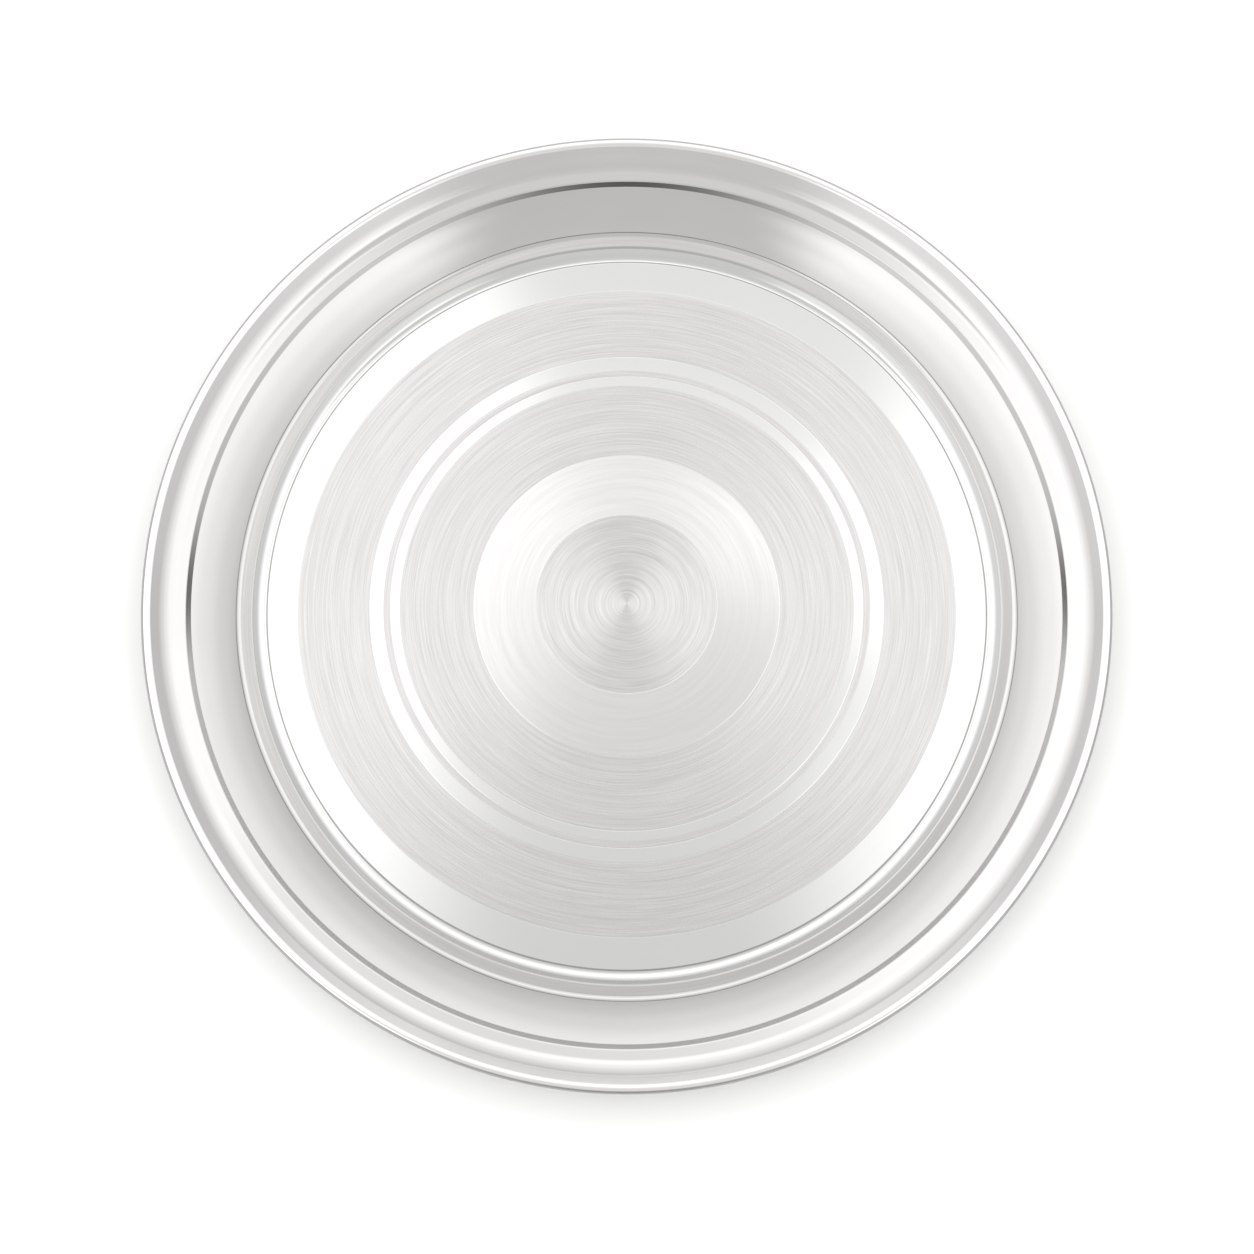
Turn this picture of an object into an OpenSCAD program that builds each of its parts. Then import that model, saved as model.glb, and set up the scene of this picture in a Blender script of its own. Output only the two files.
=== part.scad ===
// Thali plate: a round stainless-steel serving plate pressed from one sheet.
// The sheet's section is a run of flats and bends, turned about Z. Its edge is curled outwards
// over a wire hoop. Z = 0 is the face the plate rests on, and the plate's axis is Z.

/* [Plate] */
// Diameter over the rolled rim
plate_d = 305; // [250:1:360]
// Height from the resting face to the top of the rim
plate_h = 20.3; // [18.5:0.1:23]
// Thickness of the sheet
sheet_t = 0.6; // [0.5:0.05:0.9]

/* [Step round the base] */
// Rise of the step from the base to the inner ledge
step_h = 2.2; // [1.6:0.1:4]
// Width of the step's slope, seen from above
step_w = 2.2; // [1.4:0.1:3.5]
// Inside radius of the bend at the foot of the step
foot_bend_r = 3; // [1:0.1:5]
// Inside radius of the bend at the nose of the step
nose_bend_r = 0.7; // [0.2:0.1:1]

/* [Inner ledge] */
// Width of the ledge between the step and the shoulder
ledge_w = 4.2; // [3:0.1:8]
// Rise of the ledge across its width
ledge_rise = 0.3; // [0:0.05:1]
// Inside radius of the crease where the shoulder starts
crease_bend_r = 2.2; // [0.6:0.1:3]

/* [Shoulder] */
// Width of the domed shoulder, seen from above
shoulder_w = 13.1; // [11:0.1:18]
// Rise of the shoulder
shoulder_h = 9.4; // [8:0.1:12]
// Slope of the shoulder at the crease, in degrees
shoulder_foot_angle = 44; // [42:1:56]

/* [Kick above the shoulder] */
// Rise of the small kick that ends the shoulder
kick_h = 1.7; // [1.4:0.1:2.2]
// Width of the kick, seen from above
kick_w = 1.4; // [0.8:0.05:1.6]
// Inside radius of the bends at the kick's foot and lip
kick_bend_r = 0.3; // [0.2:0.05:0.4]

/* [Flared rim] */
// Distance from the kick's lip to the outside of the rim
rim_w = 12.8; // [10:0.1:18]
// Slope of the rim where it leaves the kick's lip, in degrees
rim_foot_angle = 12; // [6:1:20]
// Radius of the hollow sweep across the rim
sweep_r = 9.5; // [4:0.1:14]
// Slope of the rim below the curl, in degrees
flare_angle = 47; // [40:1:60]
// Gap between the curl's raw edge and the rim's underside
curl_gap = 0.2; // [0.1:0.05:0.6]

/* [Rim wire] */
// Diameter of the wire inside the curl
wire_d = 2.4; // [1.6:0.1:3]
// Clearance round the wire
wire_clearance = 0.05; // [0.02:0.01:0.15]
// Gap between the wire's butted ends, along the hoop
wire_end_gap = 1; // [0.2:0.1:5]

/* [Hidden] */
$fn = 180;
// Farthest that a chord of a bend may lie from the true arc
chord_sag = 0.005;
// Largest share of a flat that one of its two bends may use
bend_share = 0.48;

function along(heading) = [cos(heading), sin(heading)];
function heading(from, to) = atan2(to[1] - from[1], to[0] - from[0]);

// Point where two lines meet, each given by a point and a heading
function meet(p, p_heading, q, q_heading) =
    p + along(p_heading) * cross(q - p, along(q_heading)) / cross(along(p_heading), along(q_heading));

// A bend is [centre, radius of the upper face, heading before, heading after].
// The radius is positive where the sheet turns up and negative where it turns down.
function bend_with_tangent(before, corner, after, tangent) =
    let (
        start = heading(before, corner),
        turn = heading(corner, after) - start,
        radius = tangent / tan(turn / 2),
        entry = corner - tangent * along(start)
    )
    [entry + radius * along(start + 90), radius, start, start + turn];

// Length of flat that a bend takes on each side of its corner
function bend_tangent(before, corner, after, inside_r) =
    let (
        turn = heading(corner, after) - heading(before, corner),
        radius = turn > 0 ? inside_r : inside_r + sheet_t
    )
    min(radius * tan(abs(turn) / 2), bend_share * norm(corner - before), bend_share * norm(after - corner));

function bend(before, corner, after, inside_r) =
    bend_with_tangent(before, corner, after, bend_tangent(before, corner, after, inside_r));

// Points of a bend on the face that lies a given depth below the upper one
function bend_points(b, depth) =
    let (
        turn = b[3] - b[2],
        outer_r = max(abs(b[1]), abs(b[1] + sheet_t)),
        chords = ceil(abs(turn) / (2 * acos(1 - chord_sag / outer_r)))
    )
    [for (i = [0:chords]) b[0] + (b[1] + depth) * along(b[2] + turn * i / chords - 90)];

function reversed(points) = [for (i = [len(points) - 1:-1:0]) points[i]];

// Curl of the rim, which closes on the wire
wire_seat_r = wire_d / 2 + wire_clearance;
bead_r = wire_seat_r + sheet_t;
bead_centre = [plate_d / 2 - bead_r, plate_h - bead_r];
curl_turn = 270 + asin((wire_seat_r - curl_gap) / bead_r);
curl = [bead_centre, -bead_r, flare_angle, flare_angle - curl_turn];

// Corners of the upper face, from the rim inwards to the base
lip_r = plate_d / 2 - rim_w;
crease_r = lip_r - kick_w - shoulder_w;
foot = [crease_r - ledge_w - step_w, sheet_t];
nose = foot + [step_w, step_h];
crease = nose + [ledge_w, ledge_rise];
shoulder_top = crease + [shoulder_w, shoulder_h];
lip = shoulder_top + [kick_w, kick_h];
flare_top = bead_centre + bead_r * along(flare_angle + 90);
sweep = meet(lip, rim_foot_angle, flare_top, flare_angle);

// The shoulder is one arc over its chord: both of its end slopes differ from the chord's alike
shoulder_chord = heading(crease, shoulder_top);
shoulder_end_angle = 2 * shoulder_chord - shoulder_foot_angle;
shoulder_apex = meet(crease, shoulder_foot_angle, shoulder_top, shoulder_end_angle);
shoulder_tangent = norm(shoulder_apex - crease) - max(
    bend_tangent(nose, crease, shoulder_apex, crease_bend_r),
    bend_tangent(shoulder_apex, shoulder_top, lip, kick_bend_r)
);

// The sweep may use all of the rim's foot that the lip leaves, and all of the flare
sweep_tangent = min(
    sweep_r * tan((flare_angle - rim_foot_angle) / 2),
    norm(sweep - lip) - bend_tangent(shoulder_top, lip, sweep, kick_bend_r),
    norm(flare_top - sweep)
);

axis_top = [0, sheet_t];
bends = [
    bend(axis_top, foot, nose, foot_bend_r),
    bend(foot, nose, crease, nose_bend_r),
    bend(nose, crease, shoulder_apex, crease_bend_r),
    bend_with_tangent(crease, shoulder_apex, shoulder_top, shoulder_tangent),
    bend(shoulder_apex, shoulder_top, lip, kick_bend_r),
    bend(shoulder_top, lip, sweep, kick_bend_r),
    bend_with_tangent(lip, sweep, flare_top, sweep_tangent),
    curl
];

// Section of the sheet, from the axis to the raw edge inside the curl and back underneath
module sheet_section() {
    upper = [for (b = bends) each bend_points(b, 0)];
    lower = [for (b = bends) each bend_points(b, sheet_t)];
    polygon(concat([axis_top], upper, reversed(lower), [[0, 0]]));
}

// Pressed plate: base, step, ledge, shoulder, kick, flared rim and curled edge in one sheet
module plate_body() {
    color([0.86, 0.86, 0.85]) rotate_extrude() sheet_section();
}

// Wire hoop that the rim is curled over, with its two ends butted
module rim_wire() {
    end_gap_angle = wire_end_gap / bead_centre[0] * 180 / PI;
    color([0.62, 0.62, 0.62])
        rotate(end_gap_angle / 2)
            rotate_extrude(angle = 360 - end_gap_angle)
                translate(bead_centre)
                    circle(d = wire_d);
}

plate_body();
rim_wire();
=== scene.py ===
"""Dress a stainless-steel thali plate: one pressed sheet whose rim is curled over a wire hoop.

Sizes in the classes are millimetres, and the meshes are metres. The plate's axis is Z, and Z = 0 is
the face that it rests on. +Y is the far side of the plate in the photograph's view.
"""
import logging
import math
from dataclasses import dataclass
from enum import IntEnum
from typing import Any

import bpy
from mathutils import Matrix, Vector


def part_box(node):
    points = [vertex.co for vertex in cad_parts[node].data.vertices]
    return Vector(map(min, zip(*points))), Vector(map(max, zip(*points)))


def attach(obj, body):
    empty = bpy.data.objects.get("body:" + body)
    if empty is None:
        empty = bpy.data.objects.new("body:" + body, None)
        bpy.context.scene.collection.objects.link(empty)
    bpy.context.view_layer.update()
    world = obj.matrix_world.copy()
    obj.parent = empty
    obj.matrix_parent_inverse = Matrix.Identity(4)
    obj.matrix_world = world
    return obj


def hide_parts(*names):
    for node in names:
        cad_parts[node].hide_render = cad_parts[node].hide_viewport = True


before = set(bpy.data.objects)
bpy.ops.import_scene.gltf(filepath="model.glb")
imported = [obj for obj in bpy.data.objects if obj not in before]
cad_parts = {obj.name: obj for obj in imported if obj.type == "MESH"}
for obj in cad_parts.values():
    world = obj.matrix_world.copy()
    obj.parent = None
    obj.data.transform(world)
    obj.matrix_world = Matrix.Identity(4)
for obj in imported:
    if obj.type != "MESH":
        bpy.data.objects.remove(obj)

MM = 0.001
# Middle value of a noise texture
NOISE_MIDDLE = 0.5
# Fewest chords in a bend of the section
FEWEST_CHORDS = 6
# Places across a cut line that draw its edges and round bottom, as shares of its width
LINE_SHARES: tuple[float, ...] = (-0.5, -0.25, -0.125, 0.0, 0.125, 0.25, 0.5)
LOG = logging.getLogger("thali_plate")
# Setting of a Map Range node whose value eases in and out
EASE: dict[str, str] = {"interpolation_type": "SMOOTHSTEP"}
# Places along one part of a direction, each with its level
Levels = tuple[tuple[float, float], ...]


def linear(hex_colour: str) -> tuple[float, float, float, float]:
    """Turn an sRGB hex colour into a linear one.

    Args:
        hex_colour: Six hex digits after a hash.

    Returns:
        Linear red, green, blue and an alpha of 1.
    """
    channels = [int(hex_colour[i:i + 2], 16) / 255 for i in (1, 3, 5)]
    red, green, blue = [c / 12.92 if c <= 0.04045 else ((c + 0.055) / 1.055) ** 2.4 for c in channels]
    return red, green, blue, 1.0


def add_node(
    tree: bpy.types.NodeTree,
    kind: str,
    settings: dict[str, Any] | None = None,
    inputs: dict[Any, Any] | None = None,
) -> bpy.types.Node:
    """Add a node with its settings, and link or set its inputs.

    Args:
        tree: Node tree that takes the node.
        kind: Node type's identifier.
        settings: Properties of the node itself.
        inputs: Value or source socket for each input, by name or number.

    Returns:
        The new node.
    """
    node = tree.nodes.new(kind)
    for name, value in (settings or {}).items():
        setattr(node, name, value)
    for key, value in (inputs or {}).items():
        if isinstance(value, bpy.types.NodeSocket):
            tree.links.new(value, node.inputs[key])
        else:
            node.inputs[key].default_value = value
    return node


class Finish(IntEnum):
    """Surface finish of a stretch of the sheet, also its number in the mesh."""

    BRUSHED = 0
    TURNED = 1
    POLISHED = 2
    LEDGE = 3
    SHOULDER = 4
    RIM = 5
    # Unbuffed steel, its dark tone painted shade in the crease and at the step's foot
    UNBUFFED_SHADE = 6
    # Rolled edge, lightened as a painted highlight
    EDGE = 7
    DISC = 8
    UNDERSIDE = 9
    # Back of the rolled edge, darkened as painted shade
    EDGE_BACK = 10


# Points of the sheet's section, each with the finish of the stretch that starts there
Outline = list[tuple[Vector, Finish]]


@dataclass(frozen=True)
class SteelFinish:
    """One finish of stainless steel, with hairlines that run round the plate's axis.

    Sizes are millimetres. The pitch and length are those of the broadest hairlines, and two finer
    sets, each half the size of the last, lie among them. A real abrasive leaves lines of about 0.1 mm.
    The broadest set is drawn several times as coarse, because lines of that size alone would fall
    below a pixel of the render. Clouds are soft patches that even out the lines.
    """

    name: str
    crest: str
    groove: str
    roughness: tuple[float, float]
    anisotropy: float
    line_pitch: float
    line_length: float
    line_depth: float
    cloud_size: float
    cloud_share: float
    line_spread: float = 0.2
    finer_sets: float = 2.0
    finer_share: float = 1.0
    cloud_detail: float = 2.0
    cloud_roughness: float = 0.5

    def material(self) -> bpy.types.Material:
        """Build the finish's node material.

        Returns:
            A metallic material whose tone, roughness and bump follow circular lines.
        """
        steel = bpy.data.materials.new(self.name)
        steel.use_nodes = True
        tree = steel.node_tree
        tree.nodes.clear()
        place = add_node(tree, "ShaderNodeTexCoord").outputs["Object"]
        across = add_node(
            tree, "ShaderNodeVectorMath", {"operation": "MULTIPLY"}, {0: place, 1: (1, 1, 0)}
        ).outputs["Vector"]
        radius = add_node(
            tree, "ShaderNodeVectorMath", {"operation": "LENGTH"}, {0: across}
        ).outputs["Value"]
        outwards = add_node(
            tree, "ShaderNodeVectorMath", {"operation": "NORMALIZE"}, {0: across}
        ).outputs["Vector"]
        turn = add_node(
            tree, "ShaderNodeMath", {"operation": "DIVIDE"}, {0: radius, 1: self.line_pitch * MM}
        ).outputs["Value"]
        along = add_node(
            tree, "ShaderNodeVectorMath", {"operation": "SCALE"},
            {0: across, "Scale": 1 / (self.line_length * MM)},
        ).outputs["Vector"]
        split = add_node(tree, "ShaderNodeSeparateXYZ", None, {0: along})
        line_place = add_node(
            tree, "ShaderNodeCombineXYZ", None, {0: turn, 1: split.outputs["X"], 2: split.outputs["Y"]}
        ).outputs["Vector"]
        hairlines = add_node(
            tree, "ShaderNodeTexNoise", None,
            {"Vector": line_place, "Scale": 1.0, "Detail": self.finer_sets, "Roughness": self.finer_share},
        ).outputs["Fac"]
        lines = add_node(
            tree, "ShaderNodeMapRange", None,
            {
                "Value": hairlines,
                "From Min": NOISE_MIDDLE - self.line_spread,
                "From Max": NOISE_MIDDLE + self.line_spread,
            },
        ).outputs["Result"]
        clouds = add_node(
            tree, "ShaderNodeTexNoise", None,
            {
                "Vector": place,
                "Scale": 1 / (self.cloud_size * MM),
                "Detail": self.cloud_detail,
                "Roughness": self.cloud_roughness,
            },
        ).outputs["Fac"]
        blend = add_node(
            tree, "ShaderNodeMix", None, {"Factor": self.cloud_share, 2: lines, 3: clouds}
        ).outputs[0]
        colour = add_node(
            tree, "ShaderNodeMix", {"data_type": "RGBA"},
            {0: blend, 6: linear(self.groove), 7: linear(self.crest)},
        ).outputs[2]
        rough = add_node(
            tree, "ShaderNodeMapRange", None,
            {"Value": blend, "To Min": self.roughness[1], "To Max": self.roughness[0]},
        ).outputs["Result"]
        relief = add_node(
            tree, "ShaderNodeBump", None,
            {"Strength": 1.0, "Distance": self.line_depth * MM, "Height": lines},
        ).outputs["Normal"]
        shader = add_node(
            tree, "ShaderNodeBsdfPrincipled", None,
            {
                "Base Color": colour,
                "Metallic": 1.0,
                "Roughness": rough,
                "Anisotropic": self.anisotropy,
                "Tangent": outwards,
                "Normal": relief,
            },
        )
        add_node(tree, "ShaderNodeOutputMaterial", None, {"Surface": shader.outputs["BSDF"]})
        return steel


# Stainless steel brushed on a turntable: fine rings that spread reflections along each radius
BRUSHED_STEEL = SteelFinish(
    "brushed_stainless_steel",
    crest="#c3c2c1", groove="#afaead", roughness=(0.25, 0.31), anisotropy=0.75,
    line_pitch=0.45, line_length=42, line_depth=0.0003, cloud_size=40, cloud_share=0.0,
)
# Centre turned with a round-nosed tool: full rings and a strong fan of light
DISC_STEEL = SteelFinish(
    "turned_stainless_steel_disc",
    crest="#cac9c8", groove="#b5b4b3", roughness=(0.34, 0.4), anisotropy=0.95,
    line_pitch=0.42, line_length=26, line_depth=0.0004, cloud_size=40, cloud_share=0.0,
)
# Band turned with a finer tool: brighter, with softer rings
TURNED_STEEL = SteelFinish(
    "fine_turned_stainless_steel",
    crest="#cbcac9", groove="#c2c1c0", roughness=(0.11, 0.15), anisotropy=0.4,
    line_pitch=2.2, line_length=45, line_depth=0.0, cloud_size=40, cloud_share=0.2,
)
# Buffed steel: a soft mirror with faint buffing rings
POLISHED_STEEL = SteelFinish(
    "polished_stainless_steel",
    crest="#cacac9", groove="#c5c5c4", roughness=(0.08, 0.11), anisotropy=0.0,
    line_pitch=1.5, line_length=60, line_depth=0.0, cloud_size=30, cloud_share=0.85,
)
# Ledge: the press's own drawn finish, duller than the flats and lined round the plate
LEDGE_STEEL = SteelFinish(
    "drawn_stainless_steel_ledge",
    crest="#b5b4b2", groove="#a5a4a2", roughness=(0.12, 0.18), anisotropy=0.3,
    line_pitch=0.9, line_length=70, line_depth=0.0004, cloud_size=30, cloud_share=0.2,
)
# Unbuffed, dull steel in the crease and in a thin ring at the foot of the step; its dark tone is painted
# shade there
UNBUFFED_SHADE_STEEL = SteelFinish(
    "unbuffed_steel_painted_crease_shade",
    crest="#9b9a97", groove="#84837f", roughness=(0.3, 0.4), anisotropy=0.0,
    line_pitch=0.6, line_length=30, line_depth=0.0, cloud_size=12, cloud_share=0.5,
)
# Shoulder: buffed by hand round the curve, a little duller than the flats
SHOULDER_STEEL = SteelFinish(
    "buffed_stainless_steel_shoulder",
    crest="#c1c0bf", groove="#bbbab9", roughness=(0.1, 0.13), anisotropy=0.0,
    line_pitch=2.0, line_length=70, line_depth=0.0, cloud_size=30, cloud_share=0.9,
)
# Rim: buffed on the wheel along its length
RIM_STEEL = SteelFinish(
    "buffed_stainless_steel_rim",
    crest="#c6c5c4", groove="#c0bfbe", roughness=(0.1, 0.14), anisotropy=0.0,
    line_pitch=1.6, line_length=80, line_depth=0.0, cloud_size=30, cloud_share=0.9,
)
# Rolled edge: buffed last, and lightened past polished steel's tone as a painted highlight
EDGE_HIGHLIGHT_STEEL = SteelFinish(
    "polished_steel_edge_painted_highlight",
    crest="#dedddc", groove="#d9d8d7", roughness=(0.1, 0.14), anisotropy=0.0,
    line_pitch=1.2, line_length=60, line_depth=0.0, cloud_size=30, cloud_share=0.4,
)
# Back of the rolled edge: past the reach of the buffing wheel and satin, and darkened as painted shade
# that draws a grey outline round the plate
EDGE_BACK_SHADE_STEEL = SteelFinish(
    "satin_steel_edge_back_painted_shade",
    crest="#aeadab", groove="#a1a09e", roughness=(0.3, 0.4), anisotropy=0.0,
    line_pitch=0.6, line_length=30, line_depth=0.0, cloud_size=12, cloud_share=0.5,
)
# Underside: the mill's satin sheet, drawn thin by the press and left unbuffed
UNDERSIDE_STEEL = SteelFinish(
    "satin_stainless_steel_underside",
    crest="#c2c1bf", groove="#b2b1af", roughness=(0.3, 0.4), anisotropy=0.3,
    line_pitch=1.0, line_length=25, line_depth=0.001, cloud_size=25, cloud_share=0.4,
)
# Wire: cold drawn, grey and dull, with die lines along it
DRAWN_WIRE_STEEL = SteelFinish(
    "drawn_steel_wire",
    crest="#a8a7a5", groove="#8f8e8c", roughness=(0.32, 0.45), anisotropy=0.3,
    line_pitch=0.3, line_length=30, line_depth=0.002, cloud_size=8, cloud_share=0.3,
)

FINISHES: dict[Finish, SteelFinish] = {
    Finish.BRUSHED: BRUSHED_STEEL,
    Finish.TURNED: TURNED_STEEL,
    Finish.POLISHED: POLISHED_STEEL,
    Finish.LEDGE: LEDGE_STEEL,
    Finish.SHOULDER: SHOULDER_STEEL,
    Finish.RIM: RIM_STEEL,
    Finish.UNBUFFED_SHADE: UNBUFFED_SHADE_STEEL,
    Finish.EDGE: EDGE_HIGHLIGHT_STEEL,
    Finish.DISC: DISC_STEEL,
    Finish.UNDERSIDE: UNDERSIDE_STEEL,
    Finish.EDGE_BACK: EDGE_BACK_SHADE_STEEL,
}


def along(heading: float) -> Vector:
    """Unit vector in the section plane for a heading in degrees."""
    return Vector((math.cos(math.radians(heading)), math.sin(math.radians(heading))))


def heading(start: Vector, end: Vector) -> float:
    """Heading in degrees from one section point to another."""
    return math.degrees(math.atan2(end.y - start.y, end.x - start.x))


def meet(p: Vector, p_heading: float, q: Vector, q_heading: float) -> Vector:
    """Find where two lines of the section meet.

    Args:
        p: Point on the first line.
        p_heading: Heading of the first line, in degrees.
        q: Point on the second line.
        q_heading: Heading of the second line, in degrees.

    Returns:
        The point on both lines.
    """
    u, v, gap = along(p_heading), along(q_heading), q - p
    return p + u * ((gap.x * v.y - gap.y * v.x) / (u.x * v.y - u.y * v.x))


@dataclass(frozen=True)
class Bend:
    """Bend of the sheet: positive radius of its upper face where it turns up, negative where down."""

    centre: Vector
    radius: float
    start: float
    end: float
    finish: Finish

    def points(self, depth: float, chord: float) -> list[Vector]:
        """Place points round the bend.

        Args:
            depth: Distance below the upper face.
            chord: Longest chord between points of the wider face.

        Returns:
            Points from the bend's start to its end.
        """
        turn = self.end - self.start
        widest = max(abs(self.radius), abs(self.radius + depth))
        count = max(FEWEST_CHORDS, math.ceil(math.radians(abs(turn)) * widest / chord))
        return [
            self.centre + along(self.start + turn * i / count - 90) * (self.radius + depth)
            for i in range(count + 1)
        ]


@dataclass(frozen=True)
class RingLine:
    """Shallow line cut round the base: its radius, width and depth."""

    radius: float
    width: float
    depth: float

    def dip(self, radius: float) -> float:
        """Depth of the line at a radius, zero outside its width."""
        offset = abs(radius - self.radius) / (self.width / 2)
        return self.depth * (1 + math.cos(math.pi * offset)) / 2 if offset < 1 else 0.0

    def marks(self) -> list[float]:
        """Radii of the points that draw the line."""
        return [self.radius + self.width * share for share in LINE_SHARES]


@dataclass
class PressedSheet:
    """The plate itself: base, step, ledge, shoulder, kick, flared rim and curled edge in one sheet.

    The diameter and height come from the solid, and the sizes down to the wire's clearance repeat the
    solid's own. After them come the finish of the base and edge, and how finely the mesh is drawn.
    """

    plate_d: float
    plate_h: float
    sheet_t: float = 0.6
    step_h: float = 2.2
    step_w: float = 2.2
    foot_bend_r: float = 3.0
    nose_bend_r: float = 0.7
    ledge_w: float = 4.2
    ledge_rise: float = 0.3
    crease_bend_r: float = 2.2
    shoulder_w: float = 13.1
    shoulder_h: float = 9.4
    shoulder_foot_angle: float = 44.0
    kick_h: float = 1.7
    kick_w: float = 1.4
    kick_bend_r: float = 0.3
    rim_w: float = 12.8
    rim_foot_angle: float = 12.0
    sweep_r: float = 9.5
    flare_angle: float = 47.0
    curl_gap: float = 0.2
    wire_d: float = 2.4
    wire_clearance: float = 0.05
    bands: tuple[tuple[float, Finish], ...] = (
        (29.2, Finish.DISC),
        (49.7, Finish.TURNED),
        (73.3, Finish.BRUSHED),
        (76.7, Finish.POLISHED),
        (78.6, Finish.BRUSHED),
        (83.4, Finish.POLISHED),
        (106.4, Finish.BRUSHED),
    )
    line_width: float = 0.55
    line_depth: float = 0.02
    foot_line: RingLine = RingLine(117.3, 2.2, 0.14)
    # Radii of a thin ring at the step's foot that is darkened as painted shade
    foot_shade_line: tuple[float, float] = (116.35, 116.85)
    # Offsets from the crease of a ring that is darkened as painted shade
    crease_shade_line: tuple[float, float] = (0.45, 0.8)
    # Angle round the curl where the edge's painted highlight gives way to the painted shade of its back
    buffed_highlight_to: float = 25.0
    bend_share: float = 0.48
    flat_step: float = 10.0
    chord: float = 0.36
    under_step: float = 40.0
    under_chord: float = 0.72
    support: float = 0.04
    supported_chords: float = 1.2
    sharp_angle: float = 50.0
    segments: int = 300
    weld: float = 0.0005

    def crease_radius(self) -> float:
        """Radius of the crease between the ledge and the shoulder."""
        return self.plate_d / 2 - self.rim_w - self.kick_w - self.shoulder_w

    def ring_lines(self) -> list[RingLine]:
        """Lines between the base's bands, and the one at its foot."""
        between = [RingLine(r, self.line_width, self.line_depth) for r, _ in self.bands]
        return between + [self.foot_line]

    def tangent(self, before: Vector, corner: Vector, after: Vector, inside_r: float) -> float:
        """Length of flat that a bend takes on each side of its corner.

        Args:
            before: Corner before it.
            corner: Corner to round.
            after: Corner after it.
            inside_r: Radius of the bend's hollow side.

        Returns:
            The length, limited so that a flat's two bends never meet.
        """
        turn = heading(corner, after) - heading(before, corner)
        radius = inside_r if turn > 0 else inside_r + self.sheet_t
        return min(
            radius * math.tan(math.radians(abs(turn) / 2)),
            self.bend_share * (corner - before).length,
            self.bend_share * (after - corner).length,
        )

    def bend(self, before: Vector, corner: Vector, after: Vector, length: float, finish: Finish) -> Bend:
        """Round a corner of the section.

        Args:
            before: Corner before it.
            corner: Corner to round.
            after: Corner after it.
            length: Length of flat that the bend takes on each side.
            finish: Finish from here to the next bend.

        Returns:
            The bend.
        """
        start = heading(before, corner)
        turn = heading(corner, after) - start
        radius = length / math.tan(math.radians(turn / 2))
        entry = corner - along(start) * length
        return Bend(entry + along(start + 90) * radius, radius, start, start + turn, finish)

    def bends(self) -> list[Bend]:
        """Work out the section's bends, from the foot of the step to the curl.

        Returns:
            The bends in order along the sheet.
        """
        seat_r = self.wire_d / 2 + self.wire_clearance
        bead_r = seat_r + self.sheet_t
        bead = Vector((self.plate_d / 2 - bead_r, self.plate_h - bead_r))
        curl_turn = 270 + math.degrees(math.asin((seat_r - self.curl_gap) / bead_r))
        foot_r = self.crease_radius() - self.ledge_w - self.step_w
        axis = Vector((0, self.sheet_t))
        foot = Vector((foot_r, self.sheet_t))
        nose = foot + Vector((self.step_w, self.step_h))
        crease = nose + Vector((self.ledge_w, self.ledge_rise))
        top = crease + Vector((self.shoulder_w, self.shoulder_h))
        lip = top + Vector((self.kick_w, self.kick_h))
        flare_top = bead + along(self.flare_angle + 90) * bead_r
        sweep = meet(lip, self.rim_foot_angle, flare_top, self.flare_angle)
        end_angle = 2 * heading(crease, top) - self.shoulder_foot_angle
        apex = meet(crease, self.shoulder_foot_angle, top, end_angle)
        foot_run = self.tangent(axis, foot, nose, self.foot_bend_r)
        nose_run = self.tangent(foot, nose, crease, self.nose_bend_r)
        crease_run = self.tangent(nose, crease, apex, self.crease_bend_r)
        top_run = self.tangent(apex, top, lip, self.kick_bend_r)
        dome_run = (apex - crease).length - max(crease_run, top_run)
        lip_run = self.tangent(top, lip, sweep, self.kick_bend_r)
        sweep_run = min(
            self.sweep_r * math.tan(math.radians((self.flare_angle - self.rim_foot_angle) / 2)),
            (sweep - lip).length - lip_run,
            (flare_top - sweep).length,
        )
        return [
            self.bend(axis, foot, nose, foot_run, Finish.POLISHED),
            self.bend(foot, nose, crease, nose_run, Finish.LEDGE),
            self.bend(nose, crease, apex, crease_run, Finish.SHOULDER),
            self.bend(crease, apex, top, dome_run, Finish.SHOULDER),
            self.bend(apex, top, lip, top_run, Finish.RIM),
            self.bend(top, lip, sweep, lip_run, Finish.RIM),
            self.bend(lip, sweep, flare_top, sweep_run, Finish.RIM),
            # Painted highlight over the top of the curl, then painted shade round its back
            Bend(bead, -bead_r, self.flare_angle, -self.buffed_highlight_to, Finish.EDGE),
            Bend(bead, -bead_r, -self.buffed_highlight_to, self.flare_angle - curl_turn, Finish.EDGE_BACK),
        ]

    def base_radii(self, edge: float) -> list[float]:
        """Place the points of the base's upper face.

        Args:
            edge: Radius where the flat base ends.

        Returns:
            Radii from the axis outwards, close together at each cut line.
        """
        marks = [0.0, *self.foot_shade_line]
        for line in self.ring_lines():
            marks += line.marks()
        marks = sorted(r for r in marks if r < edge) + [edge]
        radii: list[float] = []
        for inner, outer in zip(marks, marks[1:]):
            count = max(1, math.ceil((outer - inner) / self.flat_step))
            radii += [inner + (outer - inner) * i / count for i in range(count)]
        return radii

    def with_supports(self, stretch: Outline) -> Outline:
        """Add a point near each end of a flat, so that the shading stays flat between its bends.

        Args:
            stretch: Points of one face, each with its finish.

        Returns:
            The points with the supports among them.
        """
        held: Outline = []
        for (point, finish), (after, _) in zip(stretch, stretch[1:]):
            held.append((point, finish))
            if (after - point).length > self.supported_chords * self.chord:
                step = (after - point).normalized() * self.support
                held += [(point + step, finish), (after - step, finish)]
        return held + stretch[-1:]

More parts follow.
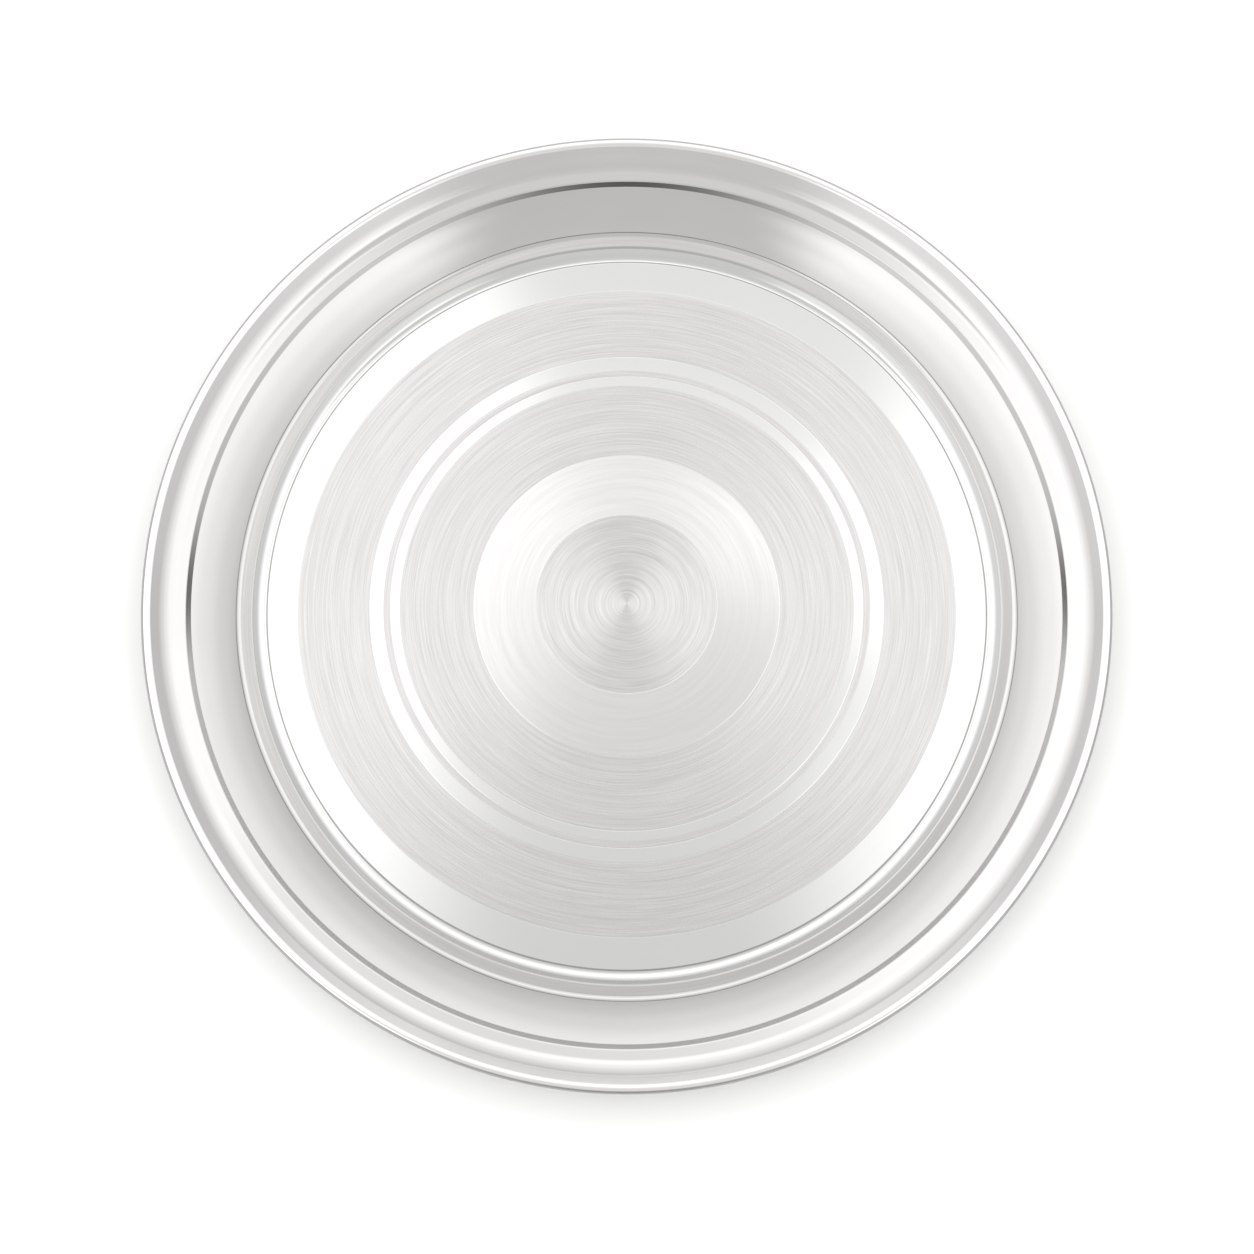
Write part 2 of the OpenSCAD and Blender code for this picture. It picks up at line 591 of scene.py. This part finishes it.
    def outline(self) -> Outline:
        """Trace the section from the axis over the sheet, round the curl and back underneath.

        Returns:
            Points in millimetres, each with the finish of the stretch that starts there.
        """
        bends = self.bends()
        edge = bends[0].centre.x
        lines = self.ring_lines()
        upper: Outline = []
        for r in self.base_radii(edge):
            within = (band for limit, band in self.bands if r < limit - self.weld)
            finish = next(within, Finish.POLISHED)
            # Painted shade: the thin ring at the step's foot takes the dark unbuffed tone
            if self.foot_shade_line[0] <= r < self.foot_shade_line[1]:
                finish = Finish.UNBUFFED_SHADE
            upper.append((Vector((r, self.sheet_t)), finish))
        for bend in bends:
            upper += [(point, bend.finish) for point in bend.points(0, self.chord)]
        upper = self.with_supports(upper)
        # Painted shade: a ring along the crease takes the dark unbuffed tone
        inner, outer = (self.crease_radius() + offset for offset in self.crease_shade_line)
        upper = [
            (point, Finish.UNBUFFED_SHADE if inner < point.x < outer else finish) for point, finish in upper
        ]
        for point, _ in upper:
            if point.y < self.sheet_t + self.step_h / 2:
                point.y -= sum(line.dip(point.x) for line in lines)
        lower = [point for bend in bends for point in bend.points(self.sheet_t, self.under_chord)]
        under = [(point, Finish.UNDERSIDE) for point in reversed(lower)]
        count = math.ceil(edge / self.under_step)
        radii = [edge * i / count for i in range(count - 1, -1, -1)]
        under += [(Vector((r, 0)), Finish.UNDERSIDE) for r in radii]
        return upper + under

    def section(self) -> bpy.types.Object:
        """Make the section a chain of edges with a finish on each point.

        Returns:
            An object in the scene, for the revolve to turn.
        """
        outline = self.outline()
        mesh = bpy.data.meshes.new("sheet_section")
        points = [(point.x * MM, 0, point.y * MM) for point, _ in outline]
        mesh.from_pydata(points, [(i, i + 1) for i in range(len(points) - 1)], [])
        numbers = mesh.attributes.new("finish", "INT", "POINT")
        for item, (_, finish) in zip(numbers.data, outline):
            item.value = int(finish)
        section = bpy.data.objects.new("sheet_section", mesh)
        bpy.context.scene.collection.objects.link(section)
        return section

    def revolve_tree(self, materials: dict[Finish, bpy.types.Material]) -> bpy.types.NodeTree:
        """Build the node tree that turns a section about Z and gives each ring its finish.

        Args:
            materials: Material for each finish.

        Returns:
            A tree with inputs for the section, the segments and the welding distance.
        """
        tree = bpy.data.node_groups.new("turned_sheet", "GeometryNodeTree")
        tree.interface.new_socket("Section", in_out="INPUT", socket_type="NodeSocketGeometry")
        tree.interface.new_socket("Segments", in_out="INPUT", socket_type="NodeSocketInt")
        tree.interface.new_socket("Weld Distance", in_out="INPUT", socket_type="NodeSocketFloat")
        tree.interface.new_socket("Sheet", in_out="OUTPUT", socket_type="NodeSocketGeometry")
        given = add_node(tree, "NodeGroupInput")
        section, segments = given.outputs["Section"], given.outputs["Segments"]
        size = add_node(
            tree, "GeometryNodeAttributeDomainSize", {"component": "MESH"}, {"Geometry": section}
        ).outputs["Point Count"]
        columns = add_node(
            tree, "FunctionNodeIntegerMath", {"operation": "ADD"}, {0: segments, 1: 1}
        ).outputs[0]
        rows = add_node(
            tree, "FunctionNodeIntegerMath", {"operation": "SUBTRACT"}, {0: size, 1: 1}
        ).outputs[0]
        grid = add_node(tree, "GeometryNodeMeshGrid", None, {"Vertices X": columns, "Vertices Y": size})
        index = add_node(tree, "GeometryNodeInputIndex").outputs["Index"]
        column = add_node(
            tree, "FunctionNodeIntegerMath", {"operation": "DIVIDE_FLOOR"}, {0: index, 1: size}
        ).outputs[0]
        row = add_node(
            tree, "FunctionNodeIntegerMath", {"operation": "MODULO"}, {0: index, 1: size}
        ).outputs[0]
        face_row = add_node(
            tree, "FunctionNodeIntegerMath", {"operation": "MODULO"}, {0: index, 1: rows}
        ).outputs[0]
        share = add_node(
            tree, "ShaderNodeMath", {"operation": "DIVIDE"}, {0: column, 1: segments}
        ).outputs[0]
        angle = add_node(
            tree, "ShaderNodeMath", {"operation": "MULTIPLY"}, {0: share, 1: 2 * math.pi}
        ).outputs[0]
        position = add_node(tree, "GeometryNodeInputPosition").outputs["Position"]
        point = add_node(
            tree, "GeometryNodeSampleIndex", {"data_type": "FLOAT_VECTOR", "domain": "POINT"},
            {"Geometry": section, "Value": position, "Index": row},
        ).outputs["Value"]
        turned = add_node(
            tree, "ShaderNodeVectorRotate", {"rotation_type": "Z_AXIS"}, {"Vector": point, "Angle": angle}
        ).outputs["Vector"]
        placed = add_node(
            tree, "GeometryNodeSetPosition", None, {"Geometry": grid.outputs["Mesh"], "Position": turned}
        ).outputs["Geometry"]
        given_finish = add_node(
            tree, "GeometryNodeInputNamedAttribute", {"data_type": "INT"}, {"Name": "finish"}
        ).outputs["Attribute"]
        ring_finish = add_node(
            tree, "GeometryNodeSampleIndex", {"data_type": "INT", "domain": "POINT"},
            {"Geometry": section, "Value": given_finish, "Index": face_row},
        ).outputs["Value"]
        marked = add_node(
            tree, "GeometryNodeStoreNamedAttribute", {"data_type": "INT", "domain": "FACE"},
            {"Geometry": placed, "Name": "finish", "Value": ring_finish},
        ).outputs["Geometry"]
        welded = add_node(
            tree, "GeometryNodeMergeByDistance", None,
            {"Geometry": marked, "Distance": given.outputs["Weld Distance"]},
        ).outputs["Geometry"]
        sheet = add_node(
            tree, "GeometryNodeRealizeInstances", None, {"Geometry": welded}
        ).outputs["Geometry"]
        for finish, material in materials.items():
            chosen = add_node(
                tree, "FunctionNodeCompare", {"data_type": "INT", "operation": "EQUAL"},
                {"A": given_finish, "B": int(finish)},
            ).outputs["Result"]
            sheet = add_node(
                tree, "GeometryNodeSetMaterial", None,
                {"Geometry": sheet, "Selection": chosen, "Material": material},
            ).outputs["Geometry"]
        add_node(tree, "NodeGroupOutput", None, {"Sheet": sheet})
        return tree

    def build(self) -> bpy.types.Object:
        """Turn the section into the finished sheet and let it stand for the solid.

        Returns:
            The sheet as a plain mesh object.
        """
        section = self.section()
        materials = {finish: steel.material() for finish, steel in FINISHES.items()}
        tree = self.revolve_tree(materials)
        turning = section.modifiers.new("turned_sheet", "NODES")
        turning.node_group = tree
        values = {"Segments": self.segments, "Weld Distance": self.weld * MM}
        for item in tree.interface.items_tree:
            if item.name in values:
                turning[item.identifier] = values[item.name]
        evaluated = section.evaluated_get(bpy.context.evaluated_depsgraph_get())
        mesh = bpy.data.meshes.new_from_object(evaluated)
        section.modifiers.remove(turning)
        bpy.data.objects.remove(section)
        mesh.name = "pressed_sheet"
        mesh.polygons.foreach_set("use_smooth", [True] * len(mesh.polygons))
        mesh.set_sharp_from_angle(angle=math.radians(self.sharp_angle))
        sheet = bpy.data.objects.new("pressed_sheet", mesh)
        bpy.context.scene.collection.objects.link(sheet)
        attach(sheet, "root")
        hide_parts("plate_body")
        return sheet


@dataclass
class RimWire:
    """The hoop inside the curl. Its solid has the right shape, so only its finish changes."""

    node: str = "rim_wire"

    def dress(self) -> bpy.types.Object:
        """Give the wire its drawn-steel finish.

        Returns:
            The wire's own object from the frame.
        """
        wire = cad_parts[self.node]
        steel = DRAWN_WIRE_STEEL.material()
        if wire.material_slots:
            for slot in wire.material_slots:
                slot.material = steel
        else:
            wire.data.materials.append(steel)
        return wire


@dataclass(frozen=True)
class Direction:
    """Sockets of the three parts of a direction in a node tree."""

    x: bpy.types.NodeSocket
    y: bpy.types.NodeSocket
    z: bpy.types.NodeSocket


@dataclass
class LightTent:
    """Soft studio light: two side panels with a gap overhead, a far panel and a grey near side.

    Levels are the tones that steel shows when it mirrors that part of the tent. Directions are the
    parts x, y and z of a unit vector, and a pair of them is where a change starts and ends. Low down,
    the dark room shows between the panels: widely at the near side and narrowly at the left and right.
    """

    steel_reflectance: float = 0.57
    panel_by_z: Levels = (
        (0.0, 0.47), (0.1, 0.55), (0.2, 0.62), (0.42, 0.75), (0.65, 0.92), (0.8, 1.06), (1.0, 1.06),
    )
    middle_by_y: Levels = (
        (-1.0, 0.58), (-0.75, 0.56), (-0.45, 0.55), (-0.2, 0.58), (0.0, 0.62), (0.05, 0.66),
        (0.1, 0.64), (0.16, 0.69), (0.21, 0.82), (0.26, 0.83), (0.31, 0.77), (0.37, 0.74),
        (0.46, 0.86), (0.6, 0.98), (0.75, 0.94), (0.9, 0.8), (1.0, 0.7),
    )
    near_gap_by_z: Levels = (
        (0.0, 0.55), (0.41, 0.5), (0.67, 0.41), (0.84, 0.31), (0.91, 0.5), (1.0, 0.5),
    )
    far_gap_by_y: Levels = (
        (0.0, 0.085), (0.09, 0.07), (0.18, 0.075), (0.21, 0.025),
        (0.24, 0.025), (0.27, 0.1), (0.32, 0.115), (0.36, 0.125), (1.0, 0.125),
    )
    gap_centre_by_y: Levels = (
        (0.0, 0.0), (0.08, 0.008), (0.14, 0.035), (0.2, 0.012), (0.24, 0.0),
        (0.28, 0.05), (0.32, 0.05), (0.4, 0.03), (1.0, 0.03),
    )
    far_side_y: tuple[float, float] = (-0.12, -0.03)
    gap_start_share: float = 0.72
    near_blur: float = 0.085
    far_blur: float = 0.012
    blur_y: tuple[float, float] = (0.1, 0.2)
    past_gap_y: tuple[float, float] = (0.4, 0.52)
    near_share: float = 1.08
    near_share_y: tuple[float, float] = (-0.8, -0.1)
    panel_lean: float = 0.07
    horizon_z: float = 0.1
    horizon_share: float = 2.1
    horizon_share_y: tuple[float, float] = (-0.4, 0.7)
    room_share: float = 0.12
    room_centre_y: float = 0.17
    near_room_falloff: float = 3.5
    side_room_falloff: float = 20.0
    side_room_share: float = 0.97
    room_end_y: tuple[float, float] = (0.2, 0.6)
    room_top_z: tuple[float, float] = (0.24, 0.33)
    room_top_drop: float = 0.15

    def ramp(
        self, tree: bpy.types.NodeTree, place: bpy.types.NodeSocket, levels: Levels, low: float
    ) -> bpy.types.NodeSocket:
        """Read a level from a smooth run of levels.

        Args:
            tree: World's node tree.
            place: Part of the direction that the levels follow.
            levels: Places and their levels.
            low: Lowest place, 0 or -1.

        Returns:
            The level at the place.
        """
        share = add_node(
            tree, "ShaderNodeMapRange", None, {"Value": place, "From Min": low, "From Max": 1.0}
        ).outputs["Result"]
        node = add_node(tree, "ShaderNodeValToRGB", None, {0: share})
        stops = node.color_ramp
        stops.interpolation = "EASE"
        given = len(stops.elements)
        for i, (where, level) in enumerate(levels):
            stop = stops.elements[i] if i < given else stops.elements.new(1.0)
            stop.position = (where - low) / (1 - low)
            stop.color = (level, level, level, 1)
        return node.outputs["Color"]

    def panel_mask(self, tree: bpy.types.NodeTree, way: Direction) -> bpy.types.NodeSocket:
        """Tell the panels from the gap between them.

        Args:
            tree: World's node tree.
            way: Direction to look in.

        Returns:
            1 in a panel and 0 in the gap, with a soft edge between.
        """
        centre = self.ramp(tree, way.y, self.gap_centre_by_y, 0.0)
        off_gap = add_node(
            tree, "ShaderNodeMath", {"operation": "SUBTRACT"}, {0: way.x, 1: centre}
        ).outputs[0]
        side = add_node(tree, "ShaderNodeMath", {"operation": "ABSOLUTE"}, {0: off_gap}).outputs[0]
        far_side = add_node(
            tree, "ShaderNodeMapRange", EASE,
            {"Value": way.y, "From Min": self.far_side_y[0], "From Max": self.far_side_y[1]},
        ).outputs["Result"]
        gap = add_node(
            tree, "ShaderNodeMix", None,
            {
                "Factor": far_side,
                2: self.ramp(tree, way.z, self.near_gap_by_z, 0.0),
                3: self.ramp(tree, way.y, self.far_gap_by_y, 0.0),
            },
        ).outputs[0]
        gap_start = add_node(
            tree, "ShaderNodeMath", {"operation": "MULTIPLY"}, {0: gap, 1: self.gap_start_share}
        ).outputs[0]
        blur = add_node(
            tree, "ShaderNodeMapRange", EASE,
            {
                "Value": way.y,
                "From Min": self.blur_y[0],
                "From Max": self.blur_y[1],
                "To Min": self.near_blur,
                "To Max": self.far_blur,
            },
        ).outputs["Result"]
        gap_end = add_node(tree, "ShaderNodeMath", {"operation": "ADD"}, {0: gap, 1: blur}).outputs[0]
        beside_gap = add_node(
            tree, "ShaderNodeMapRange", EASE, {"Value": side, "From Min": gap_start, "From Max": gap_end}
        ).outputs["Result"]
        past_gap = add_node(
            tree, "ShaderNodeMapRange", EASE,
            {"Value": way.y, "From Min": self.past_gap_y[0], "From Max": self.past_gap_y[1]},
        ).outputs["Result"]
        return add_node(
            tree, "ShaderNodeMath", {"operation": "MAXIMUM"}, {0: beside_gap, 1: past_gap}
        ).outputs[0]

    def panel_level(self, tree: bpy.types.NodeTree, way: Direction) -> bpy.types.NodeSocket:
        """Light the panels: brighter upwards, and a little towards the near side and the left.

        Args:
            tree: World's node tree.
            way: Direction to look in.

        Returns:
            The panels' level.
        """
        level = self.ramp(tree, way.z, self.panel_by_z, 0.0)
        near = add_node(
            tree, "ShaderNodeMapRange", EASE,
            {
                "Value": way.y,
                "From Min": self.near_share_y[0],
                "From Max": self.near_share_y[1],
                "To Min": self.near_share,
                "To Max": 1.0,
            },
        ).outputs["Result"]
        lean = add_node(
            tree, "ShaderNodeMath", {"operation": "MULTIPLY_ADD"}, {0: way.x, 1: -self.panel_lean, 2: 1.0}
        ).outputs[0]
        share = add_node(tree, "ShaderNodeMath", {"operation": "MULTIPLY"}, {0: near, 1: lean}).outputs[0]
        return add_node(tree, "ShaderNodeMath", {"operation": "MULTIPLY"}, {0: level, 1: share}).outputs[0]

    def horizon(self, tree: bpy.types.NodeTree, way: Direction) -> bpy.types.NodeSocket:
        """Brighten the far side's horizon, where the floor's light adds to the tent's.

        Args:
            tree: World's node tree.
            way: Direction to look in.

        Returns:
            The share to multiply the light by.
        """
        far_share = add_node(
            tree, "ShaderNodeMapRange", EASE,
            {
                "Value": way.y,
                "From Min": self.horizon_share_y[0],
                "From Max": self.horizon_share_y[1],
                "To Min": 1.0,
                "To Max": self.horizon_share,
            },
        ).outputs["Result"]
        return add_node(
            tree, "ShaderNodeMapRange", EASE,
            {"Value": way.z, "From Max": self.horizon_z, "To Min": far_share, "To Max": 1.0},
        ).outputs["Result"]

    def dark_room(self, tree: bpy.types.NodeTree, way: Direction) -> bpy.types.NodeSocket:
        """Darken what shows between the panels low down, on the near side, the left and the right.

        Args:
            tree: World's node tree.
            way: Direction to look in.

        Returns:
            The share of the light that is left.
        """
        off_y = add_node(
            tree, "ShaderNodeMath", {"operation": "SUBTRACT"}, {0: way.y, 1: self.room_centre_y}
        ).outputs[0]
        x2 = add_node(tree, "ShaderNodeMath", {"operation": "MULTIPLY"}, {0: way.x, 1: way.x}).outputs[0]
        y2 = add_node(tree, "ShaderNodeMath", {"operation": "MULTIPLY"}, {0: off_y, 1: off_y}).outputs[0]
        apart = add_node(tree, "ShaderNodeMath", {"operation": "SUBTRACT"}, {0: x2, 1: y2}).outputs[0]
        reach = add_node(tree, "ShaderNodeMath", {"operation": "ADD"}, {0: x2, 1: y2}).outputs[0]
        # 1 straight to the left or right, and -1 straight to the near or far side
        turn = add_node(tree, "ShaderNodeMath", {"operation": "DIVIDE"}, {0: apart, 1: reach}).outputs[0]
        back = add_node(tree, "ShaderNodeMath", {"operation": "MULTIPLY"}, {0: turn, 1: -1.0}).outputs[0]
        nearness = add_node(
            tree, "ShaderNodeMath", {"operation": "MAXIMUM"}, {0: back, 1: 0.0}
        ).outputs[0]
        sideness = add_node(
            tree, "ShaderNodeMath", {"operation": "MAXIMUM"}, {0: turn, 1: 0.0}
        ).outputs[0]
        near_dark = add_node(
            tree, "ShaderNodeMath", {"operation": "POWER"}, {0: nearness, 1: self.near_room_falloff}
        ).outputs[0]
        side_dark = add_node(
            tree, "ShaderNodeMath", {"operation": "POWER"}, {0: sideness, 1: self.side_room_falloff}
        ).outputs[0]
        between = add_node(
            tree, "ShaderNodeMath", {"operation": "MULTIPLY_ADD"},
            {0: side_dark, 1: self.side_room_share, 2: near_dark},
        ).outputs[0]
        not_far = add_node(
            tree, "ShaderNodeMapRange", EASE,
            {
                "Value": way.y,
                "From Min": self.room_end_y[0],
                "From Max": self.room_end_y[1],
                "To Min": 1.0,
                "To Max": 0.0,
            },
        ).outputs["Result"]
        drop = add_node(
            tree, "ShaderNodeMapRange", None,
            {
                "Value": way.y,
                "From Min": -1.0,
                "From Max": 0.0,
                "To Min": 0.0,
                "To Max": self.room_top_drop,
            },
        ).outputs["Result"]
        height = add_node(tree, "ShaderNodeMath", {"operation": "ADD"}, {0: way.z, 1: drop}).outputs[0]
        low = add_node(
            tree, "ShaderNodeMapRange", EASE,
            {
                "Value": height,
                "From Min": self.room_top_z[0],
                "From Max": self.room_top_z[1],
                "To Min": 1.0,
                "To Max": 0.0,
            },
        ).outputs["Result"]
        dark = add_node(
            tree, "ShaderNodeMath", {"operation": "MULTIPLY"}, {0: between, 1: not_far}
        ).outputs[0]
        dark_low = add_node(
            tree, "ShaderNodeMath", {"operation": "MULTIPLY"}, {0: dark, 1: low}
        ).outputs[0]
        return add_node(
            tree, "ShaderNodeMapRange", None, {"Value": dark_low, "To Min": 1.0, "To Max": self.room_share}
        ).outputs["Result"]

    def build(self) -> None:
        """Build the tent as the scene's world."""
        world = bpy.data.worlds.new("light_tent")
        bpy.context.scene.world = world
        world.use_nodes = True
        tree = world.node_tree
        tree.nodes.clear()
        position = add_node(tree, "ShaderNodeNewGeometry").outputs["Position"]
        axes = add_node(tree, "ShaderNodeSeparateXYZ", None, {0: position}).outputs
        way = Direction(axes["X"], axes["Y"], axes["Z"])
        tone = add_node(
            tree, "ShaderNodeMix", None,
            {
                "Factor": self.panel_mask(tree, way),
                2: self.ramp(tree, way.y, self.middle_by_y, -1.0),
                3: self.panel_level(tree, way),
            },
        ).outputs[0]
        lit = add_node(
            tree, "ShaderNodeMath", {"operation": "MULTIPLY"}, {0: tone, 1: self.horizon(tree, way)}
        ).outputs[0]
        shaded = add_node(
            tree, "ShaderNodeMath", {"operation": "MULTIPLY"}, {0: lit, 1: self.dark_room(tree, way)}
        ).outputs[0]
        strength = add_node(
            tree, "ShaderNodeMath", {"operation": "DIVIDE"}, {0: shaded, 1: self.steel_reflectance}
        ).outputs[0]
        light = add_node(tree, "ShaderNodeBackground", None, {"Color": (1, 1, 1, 1), "Strength": strength})
        add_node(tree, "ShaderNodeOutputWorld", None, {"Surface": light.outputs["Background"]})


@dataclass
class PaleFloor:
    """Plain pale floor under the plate."""

    half_size: float = 3000.0
    drop: float = 0.1
    colour: str = "#efefee"
    roughness: float = 0.9
    gloss: float = 0.0

    def build(self) -> bpy.types.Object:
        """Make the floor.

        Returns:
            The floor.
        """
        reach, level = self.half_size * MM, -self.drop * MM
        mesh = bpy.data.meshes.new("pale_floor")
        sides = [(-1, -1), (1, -1), (1, 1), (-1, 1)]
        corners = [(x * reach, y * reach, level) for x, y in sides]
        mesh.from_pydata(corners, [], [(0, 1, 2, 3)])
        paper = bpy.data.materials.new("matt_white_paper")
        paper.use_nodes = True
        shader = paper.node_tree.nodes["Principled BSDF"]
        shader.inputs["Base Color"].default_value = linear(self.colour)
        shader.inputs["Roughness"].default_value = self.roughness
        shader.inputs["Specular IOR Level"].default_value = self.gloss
        mesh.materials.append(paper)
        floor = bpy.data.objects.new("pale_floor", mesh)
        bpy.context.scene.collection.objects.link(floor)
        return floor


@dataclass
class PhotoCamera:
    """Camera at the photograph's place: it looks down at the base, leaning towards the near side."""

    lean: float = 10.36
    distance: float = 575.4
    focal_px: float = 1774.5
    image_px: float = 1254.0
    axis_px: tuple[float, float] = (626.7, 603.5)
    sensor: float = 36.0

    def build(self, target_z: float) -> bpy.types.Object:
        """Make the camera and use it for the scene.

        Args:
            target_z: Height of the base's upper face, in millimetres.

        Returns:
            The camera.
        """
        lens = bpy.data.cameras.new("photo_camera")
        lens.sensor_width = self.sensor
        lens.lens = self.sensor * self.focal_px / self.image_px
        lens.shift_x = (self.image_px / 2 - self.axis_px[0]) / self.image_px
        lens.shift_y = (self.axis_px[1] - self.image_px / 2) / self.image_px
        camera = bpy.data.objects.new("photo_camera", lens)
        angle = math.radians(self.lean)
        back, up = self.distance * math.sin(angle), self.distance * math.cos(angle)
        camera.location = (0, -back * MM, (target_z + up) * MM)
        camera.rotation_euler = (angle, 0, 0)
        bpy.context.scene.collection.objects.link(camera)
        bpy.context.scene.camera = camera
        return camera


def main() -> None:
    """Build the plate, its light, floor and camera, and log the sheet's faces and the parts made."""
    logging.basicConfig(level=logging.INFO, format="%(name)s: %(message)s")
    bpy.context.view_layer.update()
    low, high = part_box("plate_body")
    sheet_maker = PressedSheet(plate_d=(high[0] - low[0]) / MM, plate_h=(high[2] - low[2]) / MM)
    sheet = sheet_maker.build()
    LOG.info("%s: %d faces", sheet.name, len(sheet.data.polygons))
    wire = RimWire().dress()
    LOG.info("%s: %s", wire.name, wire.material_slots[0].material.name)
    LightTent().build()
    floor = PaleFloor().build()
    camera = PhotoCamera().build(sheet_maker.sheet_t)
    LOG.info("%s and %s in place", floor.name, camera.name)
    bpy.context.scene.view_settings.view_transform = "Standard"


if __name__ == "__main__":
    main()
